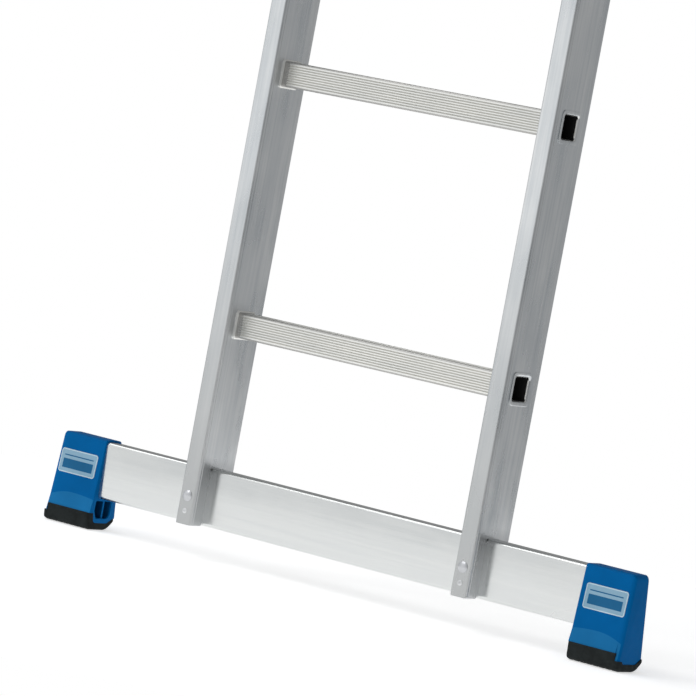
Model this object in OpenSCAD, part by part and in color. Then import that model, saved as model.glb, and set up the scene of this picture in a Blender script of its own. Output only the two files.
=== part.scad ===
// Two-section push-up extension ladder in aluminium, on a stabiliser crossbar.
// Origin on the floor, below the middle of the ladder. +X runs along the rungs,
// +Y from the climber's side to the back, +Z up the stiles. Millimetres.

/* [Sections] */
// Outer width over the base stiles
base_w = 400; // [380:2:440]
// How much narrower the fly section is than the base, over both stiles
fly_less = 4; // [4:1:8]
// Rung spacing, centre to centre
pitch = 280; // [275:1:285]
// Height of the lowest rung centre above the floor
first_rung = 261; // [255:1:270]
// Stile length beyond the last rung centre
stile_over = 139; // [130:1:150]
// Pitches by which the fly is raised as drawn
raised = 3; // [0:1:6]
// Gap between the two sections
gap = 3; // [3:0.5:4]

/* [Stiles] */
// Stile width, along the rungs
stile_w = 22; // [22:1:26]
// Stile depth, front to back
stile_d = 60; // [60:1:66]
// Stile wall
stile_t = 1.6; // [1.2:0.2:2.0]
// Depth of the web below the edge beads
bead_rise = 0.8; // [0.4:0.2:1.0]
// Width of an edge bead
bead_w = 4; // [3:0.5:5]

/* [Rungs] */
// Rung height and depth
rung_s = 28; // [27:0.5:29]
// Rung wall
rung_t = 1.5; // [1.2:0.1:1.8]
// Depth of a grip groove
groove_deep = 0.5; // [0.3:0.1:0.6]
// Grip grooves on each side of a rung
grooves = 8; // [6:1:9]

/* [Crossbar] */
// Crossbar length without its foot caps
bar_len = 778; // [700:2:900]
// Crossbar height
bar_h = 64; // [60:1:66]
// Crossbar depth
bar_d = 22; // [20:1:24]
// Height of the crossbar's underside above the floor
bar_z = 36; // [34:1:38]
// Distance of the crossbar's face behind the stile's front
bar_back = 20; // [19:0.5:21]

/* [Hidden] */
sections = ["base", "fly"];
sides = ["right", "left"];
rungs = 9;
$fn = 48;

// Guide bracket at the head of the base section
plate_t = 3;
liner_t = 1.4;
run_gap = 0.8;
guide_h = 60;
lip_len = 25;

// The plane between the sections lies so that the ladder is centred on Y = 0
mid_y = (run_gap + liner_t + plate_t) / 2;
base_y = mid_y + gap / 2;
fly_y = mid_y - gap / 2 - stile_d;
fly_w = base_w - fly_less;
lift = raised * pitch;

base_bottom = bar_z - 1;
base_top = first_rung + (rungs - 1) * pitch + stile_over;
fly_bottom = first_rung - 150 + lift;
fly_top = base_top + lift;
hook_z = first_rung + lift;
bar_y = base_y + bar_back;
bar_top = bar_z + bar_h;
bolt_x = base_w / 2 - stile_w / 2;
bolt_rise = 31;
bolt_z = bar_z + bolt_rise;
rivet_z = bolt_z - 17;
wrap = 0.1;

// Foot cap, right-hand one, seen along X as (y behind the stile's front, z)
cap_in = 329;
cap_out = 393;
sole_band = 19;
sole_t = 8;

silver = [0.80, 0.81, 0.81];
rung_silver = [0.84, 0.83, 0.80];
blue = [0.0, 0.36, 0.62];
charcoal = [0.11, 0.13, 0.13];
zinc = [0.66, 0.67, 0.69];
grey_plastic = [0.25, 0.26, 0.27];

// One rounded corner of an outline: the arc of radius r that replaces point q
function unit(v) = v / norm(v);
function corner(p, q, s, r, n) =
    let (a = unit(p - q), b = unit(s - q), half = acos(a * b) / 2,
         centre = q + unit(a + b) * r / sin(half),
         from = q + a * r / tan(half) - centre,
         to = q + b * r / tan(half) - centre,
         start = atan2(from[1], from[0]),
         sweep = (atan2(to[1], to[0]) - start + 540) % 360 - 180)
    [for (k = [0 : n]) centre + r * [cos(start + sweep * k / n), sin(start + sweep * k / n)]];

// An outline of [x, y, radius] corners, with an arc at each corner whose radius isn't 0
function rounded(pts, n = 4) =
    let (m = len(pts), xy = [for (p = pts) [p[0], p[1]]])
    [for (i = [0 : m - 1]) each pts[i][2] == 0
        ? [xy[i]]
        : corner(xy[(i + m - 1) % m], xy[i], xy[(i + 1) % m], pts[i][2], n)];

function box_outline(w, h, r) =
    rounded([[-w / 2, -h / 2, r], [w / 2, -h / 2, r], [w / 2, h / 2, r], [-w / 2, h / 2, r]]);

// Draws its right-hand child on the named side
module on_side(side) {
    mirror([side == "left" ? 1 : 0, 0, 0]) children();
}

// Extrudes a (y, z) outline along X from x0 to x1
module along_x(x0, x1) {
    translate([x0, 0, 0])
        rotate([90, 0, 90])
            linear_extrude(height = x1 - x0) children();
}

// A round bar along X or Y
module bar_x(x0, x1, y, z, r) {
    translate([x0, y, z]) rotate([0, 90, 0]) cylinder(h = x1 - x0, r = r);
}

module bar_yy(y0, y1, x, z, r) {
    translate([x, y0, z]) rotate([-90, 0, 0]) cylinder(h = y1 - y0, r = r);
}

// A domed head of radius r and height h on the plane z = 0
module dome(r, h) {
    ball = (r * r + h * h) / (2 * h);
    intersection() {
        translate([0, 0, h - ball]) sphere(r = ball);
        cylinder(h = h, r = r);
    }
}

// ---- stiles ----

// Section of a stile: a flat tube with a raised bead along each edge, front at y = 0
module stile_outline() {
    outer = stile_w / 2;
    web = outer - bead_rise;
    polygon(rounded([
        [-outer, 0, 1.5], [outer, 0, 1.5],
        [outer, bead_w, 0.4], [web, bead_w + 1.2, 0.6],
        [web, stile_d - bead_w - 1.2, 0.6], [outer, stile_d - bead_w, 0.4],
        [outer, stile_d, 1.5], [-outer, stile_d, 1.5],
        [-outer, stile_d - bead_w, 0.4], [-web, stile_d - bead_w - 1.2, 0.6],
        [-web, bead_w + 1.2, 0.6], [-outer, bead_w, 0.4]
    ], 3));
}

hollow_w = stile_w - 2 * (bead_rise + stile_t);
hollow_d = stile_d - 2 * stile_t;

module stile(width, y0, z0, z1, rung0) {
    window = rung_s + 0.2;
    difference() {
        translate([width / 2 - stile_w / 2, y0, z0]) linear_extrude(height = z1 - z0)
            difference() {
                stile_outline();
                translate([-hollow_w / 2, stile_t]) square([hollow_w, hollow_d]);
            }
        for (i = [0 : rungs - 1])
            translate([width / 2 - stile_w / 2, y0 + stile_d / 2, rung0 + i * pitch])
                cube([stile_w + 2, window, window], center = true);
    }
}

// The base stile is slotted over the crossbar: its front leg hangs down the bar's face,
// and its rear part ends a little below the bar's top
module base_stile(side) {
    chamfer = 2.5;
    rear_drop = 9;
    color(silver) on_side(side) difference() {
        stile(base_w, base_y, base_bottom, base_top, first_rung);
        translate([base_w / 2 - stile_w - 1, bar_y, base_bottom - 1]) {
            cube([stile_w + 2, bar_d + wrap, bar_top - base_bottom + 1]);
            cube([stile_w + 2, stile_d, bar_top - rear_drop - base_bottom + 1]);
        }
        for (x = [base_w / 2 - stile_w, base_w / 2])
            translate([x, base_y - 1, base_bottom])
                rotate([0, 45, 0])
                    translate([-chamfer / 2, 0, -chamfer / 2]) cube([chamfer, bar_back + 2, chamfer]);
        bar_yy(base_y - 1, base_y + 3, bolt_x, bolt_z, 4.1);
        bar_yy(base_y - 1, base_y + 3, bolt_x, rivet_z, 2.1);
        for (p = guide_holes) bar_x(base_w / 2 - 4, base_w / 2 + 1, p[0], p[1], 2.5);
    }
}

module fly_stile(side) {
    color(silver) on_side(side) difference() {
        stile(fly_w, fly_y, fly_bottom, fly_top, first_rung + lift);
        for (p = hook_holes) bar_x(hook_x - 1, hook_x + 4, p[0], p[1], 2.5);
    }
}

// ---- rungs ----

// Fluted square section, centred
module rung_outline() {
    half = rung_s / 2;
    step = (rung_s - 6) / grooves;
    side = [for (i = [0 : grooves - 1]) let (u = -half + 3 + step * (i + 0.5)) each [
        [u - 0.75, -half], [u - 0.35, -half + groove_deep],
        [u + 0.35, -half + groove_deep], [u + 0.75, -half]
    ]];
    polygon([for (q = [0 : 3]) let (c = cos(90 * q), s = sin(90 * q))
        each concat(
            [for (p = side) [p[0] * c - p[1] * s, p[0] * s + p[1] * c]],
            [for (k = [0 : 4]) let (a = -90 + 90 * q + 22.5 * k)
                [(half - 2) * (c + s), (half - 2) * (s - c)] + 2 * [cos(a), sin(a)]])]);
}

// Rung with its flared rim outside each stile and its pressed bead inside. It is
// fluted between the beads and plain where it passes through the stiles.
module rung(width, y, z) {
    web_out = width / 2 - bead_rise;
    web_in = width / 2 - stile_w + bead_rise;
    rim_t = 1.2;
    bead_t = 2.2;
    bore = rung_s - 2 * rung_t;
    color(rung_silver) translate([0, y, z]) difference() {
        union() {
            along_x(bead_t - web_in, web_in - bead_t) rung_outline();
            for (m = [0, 1]) mirror([m, 0, 0]) {
                along_x(web_in, web_out) polygon(box_outline(rung_s, rung_s, 2));
                along_x(web_out, web_out + rim_t) polygon(box_outline(rung_s + 8, rung_s + 8, 4));
                along_x(web_in - bead_t, web_in) polygon(box_outline(rung_s + 4, rung_s + 4, 3));
            }
        }
        along_x(-width, width) polygon(box_outline(bore, bore, 1.2));
        for (m = [0, 1]) mirror([m, 0, 0])
            along_x(web_out + 0.2, web_out + 2) polygon(box_outline(rung_s, rung_s, 2));
    }
}

module base_rung(i) {
    rung(base_w, base_y + stile_d / 2, first_rung + (i - 1) * pitch);
}

module fly_rung(i) {
    rung(fly_w, fly_y + stile_d / 2, first_rung + lift + (i - 1) * pitch);
}

// ---- crossbar and what holds it ----

module crossbar() {
    color(silver) difference() {
        along_x(-bar_len / 2, bar_len / 2)
            translate([bar_y + bar_d / 2, bar_z + bar_h / 2]) difference() {
                polygon(box_outline(bar_d, bar_h, 4));
                polygon(box_outline(bar_d - 4, bar_h - 4, 2.2));
            }
        for (x = [-bolt_x, bolt_x]) {
            bar_yy(bar_y - 1, bar_y + bar_d + 1, x, bolt_z, 4.1);
            bar_yy(bar_y - 1, bar_y + 4, x, rivet_z, 2.1);
        }
        for (x = [-cap_rivet_x, cap_rivet_x])
            bar_yy(bar_y + bar_d - 4, bar_y + bar_d + 1, x, bolt_z, 2.1);
    }
}

nut_y = bar_y + bar_d + 1.5;

module crossbar_bolts() {
    color(zinc) for (x = [-bolt_x, bolt_x]) {
        translate([x, base_y, bolt_z]) rotate([90, 0, 0]) dome(6.2, 2.4);
        bar_yy(base_y, nut_y + 8, x, bolt_z, 4);
    }
}

module crossbar_nuts() {
    color(zinc) for (x = [-bolt_x, bolt_x])
        difference() {
            union() {
                bar_yy(bar_y + bar_d, nut_y, x, bolt_z, 8);
                translate([x, nut_y, bolt_z]) rotate([-90, 0, 0]) cylinder(h = 6.5, r = 7.5, $fn = 6);
            }
            bar_yy(bar_y + bar_d - 1, nut_y + 7, x, bolt_z, 4.05);
        }
}

// Sleeves that keep the bolts from crushing the hollow front legs
module bolt_sleeves() {
    color(zinc) for (x = [-bolt_x, bolt_x])
        difference() {
            bar_yy(base_y + stile_t, bar_y, x, bolt_z, 7);
            bar_yy(base_y, bar_y + 1, x, bolt_z, 4.1);
        }
}

module crossbar_rivets() {
    color(zinc) for (x = [-bolt_x, bolt_x]) {
        translate([x, base_y, rivet_z]) rotate([90, 0, 0]) dome(3, 0.9);
        bar_yy(base_y, bar_y + 2, x, rivet_z, 2);
        bar_yy(bar_y + 2, bar_y + 5, x, rivet_z, 3);
    }
}

// ---- foot caps, soles and label plates ----

// The cap's face leans forward and its back leans backward towards the foot
cap_top = bar_top + 2;
face_top = bar_back - 1.8;
face_low = bar_back - 6.6;
back_top = bar_back + bar_d + 3.2;
back_low = 56;
toe_y = 9.5;
heel_y = 57;
face_lean = atan((face_top - face_low) / (cap_top - bar_z));
cap_rivet_x = (cap_in + bar_len / 2) / 2 + 10;
cap_rivet_y = bar_back + bar_d + 4;
plate_w = 53;
plate_h = 27;
plate_x = 362;
plate_z = 69.5;

// Rubber sole: a tall band across the toe and a thin tread, rounded up at the heel
sole_points = [
    [toe_y, sole_band, 0], [toe_y + 1, 2, 3], [toe_y + 6, 0, 4],
    [heel_y - 12, 0, 14], [heel_y, 11, 3], [heel_y - 1.5, 14, 0],
    [heel_y - 14, sole_t, 8], [toe_y + 10, sole_t, 4], [toe_y + 7.5, sole_band, 0]
];

module foot_sole(side) {
    tread = 1.2;
    color(charcoal) on_side(side) difference() {
        translate([0, base_y, 0]) along_x(cap_in, cap_out + 2) polygon(rounded(sole_points));
        for (x = [cap_in + 6 : 8 : cap_out - 3])
            translate([x, base_y, -1]) cube([3, heel_y, 1 + tread]);
    }
}

module cap_outline() {
    polygon(rounded([
        [face_top, cap_top, 3], [back_top, cap_top, 4], [back_low, 14, 0], [heel_y - 1.5, 14, 0],
        [heel_y - 14, sole_t, 8], [toe_y + 10, sole_t, 4], [toe_y + 7.5, sole_band, 0],
        [toe_y + 0.8, sole_band, 0], [face_low, bar_z, 20]
    ]));
}

// Places its child, drawn flat, on the leaning face at the middle of the label
module on_face(sunk) {
    y = face_low + (plate_z - bar_z) * tan(face_lean);
    translate([plate_x, y, plate_z]) rotate([90 - face_lean, 0, 0]) translate([0, 0, -sunk]) children();
}

module foot_cap(side) {
    recess_y0 = toe_y + 9;
    recess_y1 = heel_y - 11;
    recess_z0 = sole_t + 5;
    recess_z1 = bar_z - 3;
    rib_y = (recess_y0 + recess_y1) / 2 + 1;
    color(blue) on_side(side) translate([0, base_y, 0]) difference() {
        intersection() {
            along_x(cap_in, cap_out + 2) cap_outline();
            // seen from the front, the outer side leans out and its top corner is rounded off
            translate([0, heel_y, 0]) rotate([90, 0, 0]) linear_extrude(height = heel_y)
                polygon(rounded([
                    [cap_in, 0, 0], [cap_out + 1.5, 0, 0], [cap_out - 0.5, cap_top, 6], [cap_in, cap_top, 1]
                ]));
        }
        // the crossbar's socket
        translate([cap_in - 1, bar_back - wrap, bar_z - wrap])
            cube([bar_len / 2 + wrap - cap_in + 1, bar_d + 2 * wrap, bar_h + 2 * wrap]);
        // the open recess in the foot, with a rib left standing in it
        difference() {
            along_x(cap_in - 1, cap_out - 5) polygon(rounded([
                [recess_y0 + 4, recess_z0, 2], [recess_y1, recess_z0, 7],
                [recess_y1, recess_z1, 2], [recess_y0, recess_z1, 2], [recess_y0, recess_z0 + 8, 2]
            ]));
            translate([cap_in + 2, rib_y, recess_z0 - 1])
                cube([cap_out, 3, recess_z1 - recess_z0 + 2]);
        }
        on_face(0.5) translate([-plate_w / 2, -plate_h / 2, 0]) cube([plate_w, plate_h, 2]);
        // rivet hole at the back, in a round seat
        bar_yy(cap_rivet_y - 5, cap_rivet_y + 1, cap_rivet_x, bolt_z, 2.1);
        bar_yy(cap_rivet_y, cap_rivet_y + 12, cap_rivet_x, bolt_z, 6);
    }
}

module label_plate(side) {
    color([0.80, 0.84, 0.88]) on_side(side) translate([0, base_y, 0])
        on_face(0.5) linear_extrude(height = 1.3) polygon(box_outline(plate_w - 0.2, plate_h - 0.2, 3));
}

module cap_rivets() {
    seat = base_y + cap_rivet_y;
    held = bar_y + bar_d - 2;
    color(zinc) for (x = [-cap_rivet_x, cap_rivet_x]) {
        translate([x, seat, bolt_z]) rotate([-90, 0, 0]) dome(4.2, 1.4);
        bar_yy(held, seat, x, bolt_z, 2);
        bar_yy(held - 3, held, x, bolt_z, 3);
    }
}

// ---- plugs ----

// End plug of a stile: a flange with the stile's outline on a stub inside the tube
module plug(width, y0, z, up, flange) {
    stub = 18;
    translate([width / 2 - stile_w / 2, y0, z]) mirror([0, 0, up ? 0 : 1]) {
        linear_extrude(height = flange)
            polygon([for (p = box_outline(stile_w, stile_d, 3)) p + [0, stile_d / 2]]);
        translate([-hollow_w / 2 + wrap, stile_t + wrap, -stub])
            cube([hollow_w - 2 * wrap, hollow_d - 2 * wrap, stub]);
    }
}

module base_top_plug(side) {
    color(grey_plastic) on_side(side) plug(base_w, base_y, base_top, true, 4);
}

module fly_top_plug(side) {
    color(grey_plastic) on_side(side) plug(fly_w, fly_y, fly_top, true, 6);
}

module fly_foot_plug(side) {
    color(grey_plastic) on_side(side) plug(fly_w, fly_y, fly_bottom, false, 5);
}

// ---- guide at the head of the base section ----

guide_z1 = base_top - 25;
guide_z0 = guide_z1 - guide_h;
guide_x = fly_w / 2 + run_gap + liner_t;
web_x = base_w / 2 - bead_rise;
guide_holes = [
    [base_y + 18, guide_z0 + 14], [base_y + 18, guide_z1 - 14], [base_y + 42, (guide_z0 + guide_z1) / 2]
];

// Folded strap riveted to the base stile's web, round the outside and front of the fly stile
module guide_bracket(side) {
    lip_y = fly_y - run_gap - liner_t;
    color(zinc) on_side(side) difference() {
        translate([0, 0, guide_z0]) linear_extrude(height = guide_h) polygon(rounded([
            [web_x, base_y + 52, 0], [web_x, base_y + bead_w + 3, 1],
            [guide_x, base_y + bead_w + 1.5, 1], [guide_x, lip_y, 1],
            [guide_x - lip_len, lip_y, 0], [guide_x - lip_len, lip_y - plate_t, 1],
            [guide_x + plate_t, lip_y - plate_t, 4], [guide_x + plate_t, base_y + bead_w + 2.5, 1],
            [web_x + plate_t, base_y + bead_w + 4, 1], [web_x + plate_t, base_y + 52, 0]
        ]));
        for (p = guide_holes) bar_x(web_x - 1, web_x + plate_t + 1, p[0], p[1], 2.5);
    }
}

// Plastic channel inside the strap, in which the fly stile slides
module guide_liner(side) {
    lip_y = fly_y - run_gap;
    back_y = mid_y - gap / 2 + 0.5;
    inner_x = guide_x - liner_t;
    color(grey_plastic) on_side(side) translate([0, 0, guide_z0 + 1])
        linear_extrude(height = guide_h - 2) polygon(rounded([
            [guide_x, base_y, 0], [guide_x, lip_y - liner_t, 1],
            [guide_x - lip_len + 1, lip_y - liner_t, 0], [guide_x - lip_len + 1, lip_y, 0],
            [inner_x, lip_y, 1], [inner_x, back_y, 1],
            [base_w / 2 - stile_w + 1, back_y, 0.5], [base_w / 2 - stile_w + 1, base_y, 0]
        ]));
}

// A blind rivet through a plate, seen from outside along +X: head, shank and set end
module rivet_x(head_x, hold_x, y, z) {
    out = head_x > hold_x ? 1 : -1;
    lo = min(head_x, hold_x);
    hi = max(head_x, hold_x);
    translate([head_x, y, z]) rotate([0, 90 * out, 0]) dome(4.8, 1.8);
    bar_x(lo, hi, y, z, 2.4);
    translate([hold_x, y, z]) rotate([0, -90 * out, 0]) cylinder(h = 3, r1 = 4, r2 = 3);
}

module guide_rivets() {
    color(silver) for (side = sides) on_side(side)
        for (p = guide_holes) rivet_x(web_x + plate_t, web_x - stile_t, p[0], p[1]);
}

// ---- hooks and safety latches at the foot of the fly section ----

// Plastic pad that keeps the fly's foot off the face of the base stile
module slide_pad(side) {
    color(grey_plastic) on_side(side) translate([hook_x + 1, fly_back, fly_bottom + 5])
        cube([stile_w - 2, gap - 0.8, 50]);
}

hook_t = 5;
hook_x = fly_w / 2 - stile_w;
rung_y = base_y + stile_d / 2;
fly_back = fly_y + stile_d;
pivot = [fly_back - 1, hook_z - 30];
pin_r = 3;
turn_gap = 0.05;
latch_t = 4;
latch_x = hook_x - hook_t - 0.5;
hook_holes = [
    [fly_y + 12, hook_z - 36], [fly_y + 12, hook_z - 66], [fly_y + 42, hook_z - 66]
];

// Plate riveted inside the fly stile, whose nose lies over a rung of the base
module rung_hook(side) {
    reach = rung_s / 2 + 0.9;
    seat = rung_s / 2 + 0.3;
    color(zinc) on_side(side) difference() {
        along_x(hook_x - hook_t, hook_x) polygon(rounded([
            [fly_y + 3, hook_z - 78, 6], [fly_back - 8, hook_z - 78, 12],
            [fly_back + 12, hook_z - 40, 14], [rung_y - reach - 4, hook_z - 6, 10],
            [rung_y - reach - 1, hook_z + seat, 1], [rung_y + reach, hook_z + seat, 2],
            [rung_y + reach, hook_z - 2, 1], [rung_y + reach + 8, hook_z - 2, 3],
            [rung_y + reach + 8, hook_z + seat + 20, 14], [fly_back - 6, hook_z + seat + 20, 14],
            [fly_back - 11, hook_z - 22, 4], [fly_y + 3, hook_z - 22, 6]
        ], 6));
        bar_x(hook_x - hook_t - 1, hook_x + 1, pivot[0], pivot[1], pin_r + turn_gap);
        for (p = hook_holes) bar_x(hook_x - hook_t - 1, hook_x + 1, p[0], p[1], 2.5);
    }
}

module hook_rivets() {
    color(silver) for (side = sides) on_side(side)
        for (p = hook_holes)
            rivet_x(hook_x - hook_t, hook_x + bead_rise + stile_t, p[0], p[1]);
}

// Sprung lever: its finger closes below the base rung, its thumb tab hangs down
module safety_latch(side) {
    under = hook_z - rung_s / 2 - 2;
    tab_y = pivot[0] - 5;
    tab_z = pivot[1] - 32;
    color(blue) on_side(side) difference() {
        union() {
            along_x(latch_x - latch_t, latch_x) polygon(rounded([
                [pivot[0] - 8, pivot[1] + 6, 7], [pivot[0] + 8, pivot[1] + 9, 6],
                [pivot[0] + 22, under, 4], [pivot[0] + 41, under, 2],
                [pivot[0] + 41, under - 7, 3], [pivot[0] + 20, under - 12, 8],
                [pivot[0] + 6, pivot[1] - 9, 6], [tab_y + 4, tab_z, 1],
                [tab_y - 4, tab_z, 1], [pivot[0] - 9, pivot[1] - 6, 6]
            ]));
            along_x(latch_x - latch_t - 10, latch_x)
                translate([tab_y, tab_z + 2]) polygon(box_outline(8, 4, 1.5));
        }
        bar_x(latch_x - latch_t - 1, latch_x + 1, pivot[0], pivot[1], pin_r + turn_gap);
    }
}

spring_wire = 0.55;
spring_coil = 4.6;
spring_turns = 3;
leg_r = 0.5;
spring_x = latch_x - latch_t - 0.3 - spring_wire;
coil_step = 2 * spring_wire + 0.05;
last_x = spring_x - (spring_turns - 1) * coil_step;
head_x = last_x - spring_wire - 0.3;

module latch_pin(side) {
    color(zinc) on_side(side) {
        bar_x(head_x, hook_x - wrap, pivot[0], pivot[1], pin_r);
        translate([head_x, pivot[0], pivot[1]]) rotate([0, -90, 0]) dome(6.2, 2);
    }
}

// Torsion spring round the pin, with one leg along the finger and one down the hook
module latch_spring(side) {
    color(zinc) on_side(side) {
        for (i = [0 : spring_turns - 1])
            translate([spring_x - i * coil_step, pivot[0], pivot[1]]) rotate([0, 90, 0])
                rotate_extrude() translate([spring_coil, 0]) circle(r = spring_wire);
        bar_yy(pivot[0] + spring_coil, pivot[0] + 16, spring_x, pivot[1], leg_r);
        translate([last_x, pivot[0], pivot[1] - 16]) cylinder(h = 16 - spring_coil, r = leg_r);
    }
}

for (h = sides) {
    base_stile(h);
    fly_stile(h);
    foot_cap(h);
    foot_sole(h);
    label_plate(h);
    base_top_plug(h);
    fly_top_plug(h);
    fly_foot_plug(h);
    guide_bracket(h);
    guide_liner(h);
    slide_pad(h);
    rung_hook(h);
    safety_latch(h);
    latch_pin(h);
    latch_spring(h);
}
for (i = [1 : rungs]) {
    base_rung(i);
    fly_rung(i);
}
crossbar();
crossbar_bolts();
crossbar_nuts();
bolt_sleeves();
crossbar_rivets();
cap_rivets();
guide_rivets();
hook_rivets();
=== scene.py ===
"""Looks of a two-section extension ladder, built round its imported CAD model.

Metres, in the CAD's frame: +X along the rungs, +Y to the back, +Z up the stiles.
Each piece is drawn for the right-hand side; the left one is its mirror image.
"""
import math

import bmesh
import bpy
from mathutils import Matrix, Vector


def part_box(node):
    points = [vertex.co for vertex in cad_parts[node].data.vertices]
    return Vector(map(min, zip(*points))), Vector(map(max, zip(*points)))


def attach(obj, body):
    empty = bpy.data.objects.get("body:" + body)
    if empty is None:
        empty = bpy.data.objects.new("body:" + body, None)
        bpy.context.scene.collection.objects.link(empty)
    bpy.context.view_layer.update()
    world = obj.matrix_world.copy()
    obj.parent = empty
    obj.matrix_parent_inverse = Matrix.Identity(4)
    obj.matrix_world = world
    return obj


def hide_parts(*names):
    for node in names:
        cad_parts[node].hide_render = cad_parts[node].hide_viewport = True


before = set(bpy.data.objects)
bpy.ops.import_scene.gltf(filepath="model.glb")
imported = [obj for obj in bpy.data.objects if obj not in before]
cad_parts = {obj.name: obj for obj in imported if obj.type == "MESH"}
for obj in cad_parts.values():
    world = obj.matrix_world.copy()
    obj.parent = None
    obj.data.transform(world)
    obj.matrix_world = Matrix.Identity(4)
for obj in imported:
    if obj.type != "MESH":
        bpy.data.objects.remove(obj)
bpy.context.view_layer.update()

MM = 0.001
SIDES = ("right", "left")
SECTIONS = ("base", "fly")
RUNGS = 9

# Section sizes of the profiles, as in the CAD model
BEAD_W = 4 * MM
BEAD_RISE = 0.8 * MM
WALL = 1.6 * MM
REAR_DROP = 9 * MM
RUNG_HALF = 14 * MM
RUNG_WALL = 1.5 * MM
GROOVES = 8
GROOVE_DEEP = 0.85 * MM
# How far a cutter runs past its piece, and the play round what goes through a cut
PAST = 10 * MM
PLAY = 0.1 * MM
# (place, brightness) of the room from behind right, 0, to front left, 1
ROOM_STOPS = ((0.03, 0.37), (0.38, 0.26), (0.62, 0.22), (0.90, 0.86))


def low(node):
    """Lowest corner of a CAD node's box."""
    return Vector(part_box(node)[0])


def high(node):
    """Highest corner of a CAD node's box."""
    return Vector(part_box(node)[1])


def middle(node):
    """Centre of a CAD node's box."""
    return (low(node) + high(node)) / 2


# ---------------------------------------------------------------- outlines


def rounded(points, steps=6):
    """An outline of (u, v, radius) corners, with an arc at each corner that has a radius."""
    outline = []
    count = len(points)
    for i, (u, v, radius) in enumerate(points):
        here = Vector((u, v))
        if radius == 0:
            outline.append(here)
            continue
        to_last = (Vector(points[i - 1][:2]) - here).normalized()
        to_next = (Vector(points[(i + 1) % count][:2]) - here).normalized()
        half = to_last.angle(to_next) / 2
        centre = here + (to_last + to_next).normalized() * radius / math.sin(half)
        first = here + to_last * radius / math.tan(half) - centre
        last = here + to_next * radius / math.tan(half) - centre
        start = math.atan2(first.y, first.x)
        sweep = (math.atan2(last.y, last.x) - start + math.pi) % math.tau - math.pi
        for k in range(steps + 1):
            angle = start + sweep * k / steps
            outline.append(centre + radius * Vector((math.cos(angle), math.sin(angle))))
    return outline


def rectangle(u0, u1, v0, v1, radius, steps=6):
    """A rectangle with rounded corners."""
    corners = [(u0, v0, radius), (u1, v0, radius), (u1, v1, radius), (u0, v1, radius)]
    return rounded(corners, steps)


def inset(outline, depth):
    """The outline moved inwards by depth, corner by corner."""
    count = len(outline)
    area = sum(outline[i - 1].cross(outline[i]) for i in range(count))
    turn = 1 if area > 0 else -1
    moved = []
    for i, here in enumerate(outline):
        before = (here - outline[i - 1]).normalized()
        after = (outline[(i + 1) % count] - here).normalized()
        normal = Vector((-before.y - after.y, before.x + after.x)).normalized() * turn
        lean = max(0.5, normal.dot(Vector((-before.y, before.x)) * turn))
        moved.append(here + normal * depth / lean)
    return moved


def place(axis, u, v, w):
    """A point of an outline that is drawn across axis, at w along it."""
    return {"x": (w, u, v), "y": (u, w, v), "z": (u, v, w)}[axis]


# ---------------------------------------------------------------- mesh building


class Shape:
    """The faces of one piece, made of lofted shells."""

    def __init__(self):
        self.verts = []
        self.faces = []

    def rings(self, rings, loop=False):
        """A shell through rings of equal length, closed on itself or with flat ends."""
        start = len(self.verts)
        size = len(rings[0])
        for ring in rings:
            self.verts.extend(ring)
        for i in range(len(rings) if loop else len(rings) - 1):
            a = start + i * size
            b = start + (i + 1) % len(rings) * size
            for j in range(size):
                k = (j + 1) % size
                self.faces.append((a + j, a + k, b + k, b + j))
        if not loop:
            self.faces.append(tuple(range(start, start + size)))
            self.faces.append(tuple(range(len(self.verts) - size, len(self.verts))))
        return self

    def loft(self, axis, stations, loop=False):
        """A shell through (place along axis, outline) stations."""
        rings = [[place(axis, p[0], p[1], w) for p in outline] for w, outline in stations]
        return self.rings(rings, loop)

    def prism(self, axis, outline, a, b, edge=0.0):
        """An outline pushed from a to b, with its end edges rounded by edge."""
        if edge == 0:
            return self.loft(axis, [(a, outline), (b, outline)])
        turns = [k * math.pi / 6 for k in range(4)]
        first = [(a + edge * (1 - math.cos(t)), inset(outline, edge * (1 - math.sin(t)))) for t in turns]
        last = [(a + b - w, ring) for w, ring in reversed(first)]
        return self.loft(axis, first + last)

    def lathe(self, centre, direction, profile, steps=32):
        """A turned shell: (distance along direction, radius) pairs from one end to the other."""
        direction = Vector(direction).normalized()
        side = direction.orthogonal().normalized()
        other = direction.cross(side)
        rings = []
        for along, radius in profile:
            heart = Vector(centre) + direction * along
            rings.append([tuple(heart + side * radius * math.cos(math.tau * k / steps)
                                + other * radius * math.sin(math.tau * k / steps))
                          for k in range(steps)])
        return self.rings(rings)

    def tube(self, path, radius, steps=10):
        """A round bar along a path of points."""
        rings = []
        count = len(path)
        side = None
        for i, point in enumerate(path):
            ahead = (path[min(i + 1, count - 1)] - path[max(i - 1, 0)]).normalized()
            if side is None:
                side = ahead.orthogonal().normalized()
            side = (side - ahead * side.dot(ahead)).normalized()
            other = ahead.cross(side)
            rings.append([tuple(point + radius * (side * math.cos(math.tau * k / steps)
                                                  + other * math.sin(math.tau * k / steps)))
                          for k in range(steps)])
        return self.rings(rings)

    def object(self, name, mirrored=False, sharp=32):
        """The piece as a Blender object, smooth but for its edges sharper than sharp degrees."""
        mesh = bpy.data.meshes.new(name)
        flip = -1 if mirrored else 1
        mesh.from_pydata([(flip * x, y, z) for x, y, z in self.verts], [], self.faces)
        work = bmesh.new()
        work.from_mesh(mesh)
        bmesh.ops.remove_doubles(work, verts=work.verts, dist=1e-7)
        bmesh.ops.recalc_face_normals(work, faces=work.faces)
        work.to_mesh(mesh)
        work.free()
        smooth(mesh, sharp)
        piece = bpy.data.objects.new(name, mesh)
        bpy.context.scene.collection.objects.link(piece)
        return piece


def smooth(mesh, sharp):
    """Smooth shading with sharp edges kept."""
    mesh.polygons.foreach_set("use_smooth", [True] * len(mesh.polygons))
    mesh.set_sharp_from_angle(angle=math.radians(sharp))


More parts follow.
